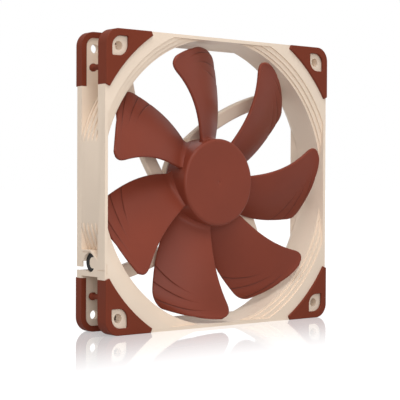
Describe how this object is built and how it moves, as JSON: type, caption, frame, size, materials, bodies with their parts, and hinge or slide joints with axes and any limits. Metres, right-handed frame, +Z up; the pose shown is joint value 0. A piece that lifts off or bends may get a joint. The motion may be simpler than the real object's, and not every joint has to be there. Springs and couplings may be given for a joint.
{
  "type": "case fan",
  "caption": "Square axial case fan with a beige frame, brown swept-blade impeller, soft corner pads, curved rear struts and a motor in the hub.",
  "frame": {"origin": "centre of the fan: on the fan axis, half way through the depth", "axes": "+Y is the fan axis, pointing the way the air leaves; the inlet face looks to -Y; +Z is up"},
  "size_m": [0.14, 0.025, 0.14],
  "materials": {
    "beige_plastic": "satin",
    "brown_plastic": "satin",
    "soft_brown_rubber": "matte",
    "black_rubber": "matte",
    "lead_insulation": "satin",
    "yoke_steel": "satin",
    "magnet_ferrite": "matte",
    "shaft_steel": "polished",
    "brass": "satin",
    "bearing_metal": "matte",
    "seal_plastic": "satin",
    "core_steel": "satin",
    "insulator_plastic": "satin",
    "board_laminate": "satin",
    "chip_black": "matte",
    "capacitor_body": "satin",
    "pin_metal": "polished",
    "label_plate": "satin",
    "copper_winding": "gloss"
  },
  "bodies": {
    "housing": {"bearing_cap": "seal_plastic", "bearing_housing": "brass", "bearing_sleeve": "bearing_metal", "board_parts": "chip_black", "capacitor": "capacitor_body", "circuit_board": "board_laminate", "contact_pins": "pin_metal", "driver_chip": "chip_black", "frame": "beige_plastic", "front_insulator": "insulator_plastic", "front_pad_lower_left": "soft_brown_rubber", "front_pad_lower_right": "soft_brown_rubber", "front_pad_upper_left": "soft_brown_rubber", "front_pad_upper_right": "soft_brown_rubber", "gland": "black_rubber", "hall_sensor": "chip_black", "lead_wires": "lead_insulation", "motor_label": "label_plate", "oil_seal": "seal_plastic", "rear_insulator": "insulator_plastic", "rear_pad_lower_left": "soft_brown_rubber", "rear_pad_lower_right": "soft_brown_rubber", "rear_pad_upper_left": "soft_brown_rubber", "rear_pad_upper_right": "soft_brown_rubber", "stabiliser_magnet": "magnet_ferrite", "stator_core": "core_steel", "thrust_plate": "seal_plastic", "winding_1": "copper_winding", "winding_2": "copper_winding", "winding_3": "copper_winding", "winding_4": "copper_winding"},
    "rotor": {"impeller": "brown_plastic", "rotor_yoke": "yoke_steel", "rotor_magnet": "magnet_ferrite", "shaft": "shaft_steel", "shaft_bush": "brass", "retaining_clip": "seal_plastic"}
  },
  "joints": [
    {"name": "rotor_spin", "type": "hinge", "parent": "housing", "child": "rotor", "pos_m": [0, 0, 0], "axis": [0, 1, 0], "continuous": true}
  ]
}
